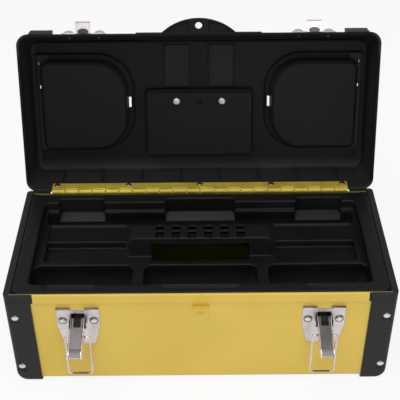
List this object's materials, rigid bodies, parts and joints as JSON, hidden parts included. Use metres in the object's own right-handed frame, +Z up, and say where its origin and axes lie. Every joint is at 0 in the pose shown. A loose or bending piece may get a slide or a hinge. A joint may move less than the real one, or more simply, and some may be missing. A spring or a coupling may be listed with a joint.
{
  "type": "tool box",
  "caption": "Small tool box with a bent steel trough between moulded end caps, a hinged moulded lid with organiser wells, wire-bail latches and a lift-out tote tray.",
  "frame": {"origin": "on the floor under the end caps' feet, in the middle of the length and of the depth that the box takes up as it rests, lid open and levers out; the base's own middle is 19 mm nearer the front", "axes": "+X along the length to the right as seen from the front, -Y towards the latches, +Z up"},
  "size_m": [0.36, 0.2892, 0.2831],
  "materials": {
    "panel_paint": "satin mustard-yellow enamel on sheet steel",
    "hinge_plate": "yellow-passivated steel",
    "hinge_wire": "bright steel",
    "black_moulding": "fine-grained black polypropylene",
    "nickel_plate": "bright nickel on pressed steel",
    "rivet_metal": "polished domed heads"
  },
  "bodies": {
    "base": {"base_shell": "panel_paint", "padlock_staple": "panel_paint", "end_cap_left": "black_moulding", "end_cap_right": "black_moulding", "cap_rivets": "rivet_metal", "hinge_base_leaf": "hinge_plate", "hinge_base_rivets": "rivet_metal", "hinge_pin": "hinge_wire", "latch_plate_left": "nickel_plate", "latch_plate_right": "nickel_plate", "latch_rivets": "rivet_metal", "lever_pin_left": "nickel_plate", "lever_pin_right": "nickel_plate"},
    "lid": {"lid_shell": "black_moulding", "organiser_tub_left": "black_moulding", "organiser_tub_right": "black_moulding", "handle_recess": "black_moulding", "hinge_lid_leaf": "hinge_plate", "hinge_lid_rivets": "rivet_metal", "latch_keeper_left": "nickel_plate", "latch_keeper_right": "nickel_plate", "keeper_rivets": "rivet_metal", "handle_pivot_rod": "hinge_wire", "handle_bracket": "black_moulding", "handle_screws": "hinge_wire"},
    "tray": {"tote_tray": "black_moulding"},
    "carry_handle": {"carry_handle": "black_moulding"},
    "lever_left": {"latch_lever_left": "nickel_plate"},
    "bail_left": {"latch_bail_left": "nickel_plate"},
    "cover_left": {"organiser_cover_left": "black_moulding"},
    "lever_right": {"latch_lever_right": "nickel_plate"},
    "bail_right": {"latch_bail_right": "nickel_plate"},
    "cover_right": {"organiser_cover_right": "black_moulding"}
  },
  "joints": [
    {"name": "lid_hinge", "type": "hinge", "parent": "base", "child": "lid", "pos_m": [0, 0.0615, 0.1095], "axis": [-1, 0, 0], "range_deg": [-104.5, 0]},
    {"name": "tray_lift", "type": "slide", "parent": "base", "child": "tray", "axis": [0, 0, 1], "range_m": [0, 0.12]},
    {"name": "carry_handle_pivot", "type": "hinge", "parent": "lid", "child": "carry_handle", "pos_m": [0, 0.12313, 0.18446], "axis": [1, 0, 0], "range_deg": [-14.5, 75.5]},
    {"name": "lever_left_pivot", "type": "hinge", "parent": "base", "child": "lever_left", "pos_m": [-0.1135, -0.107, 0.078], "axis": [-1, 0, 0], "range_deg": [-72, 0]},
    {"name": "bail_left_pivot", "type": "hinge", "parent": "lever_left", "child": "bail_left", "pos_m": [-0.1135, -0.11653, 0.07175], "axis": [1, 0, 0], "range_deg": [-243.34, 0]},
    {"name": "cover_left_pivot", "type": "hinge", "parent": "lid", "child": "cover_left", "pos_m": [-0.1646, 0.12699, 0.17881], "axis": [0, 0.2504, 0.9681], "range_deg": [0, 90]},
    {"name": "lever_right_pivot", "type": "hinge", "parent": "base", "child": "lever_right", "pos_m": [0.1135, -0.107, 0.078], "axis": [-1, 0, 0], "range_deg": [-72, 0]},
    {"name": "bail_right_pivot", "type": "hinge", "parent": "lever_right", "child": "bail_right", "pos_m": [0.1135, -0.11653, 0.07175], "axis": [1, 0, 0], "range_deg": [-243.34, 0]},
    {"name": "cover_right_pivot", "type": "hinge", "parent": "lid", "child": "cover_right", "pos_m": [0.1646, 0.12699, 0.17881], "axis": [0, -0.2504, -0.9681], "range_deg": [0, 90]}
  ],
  "couplings": [
    {"joint": "bail_left_pivot", "follows": "lever_left_pivot", "ratio": 3.379},
    {"joint": "bail_right_pivot", "follows": "lever_right_pivot", "ratio": 3.379}
  ]
}
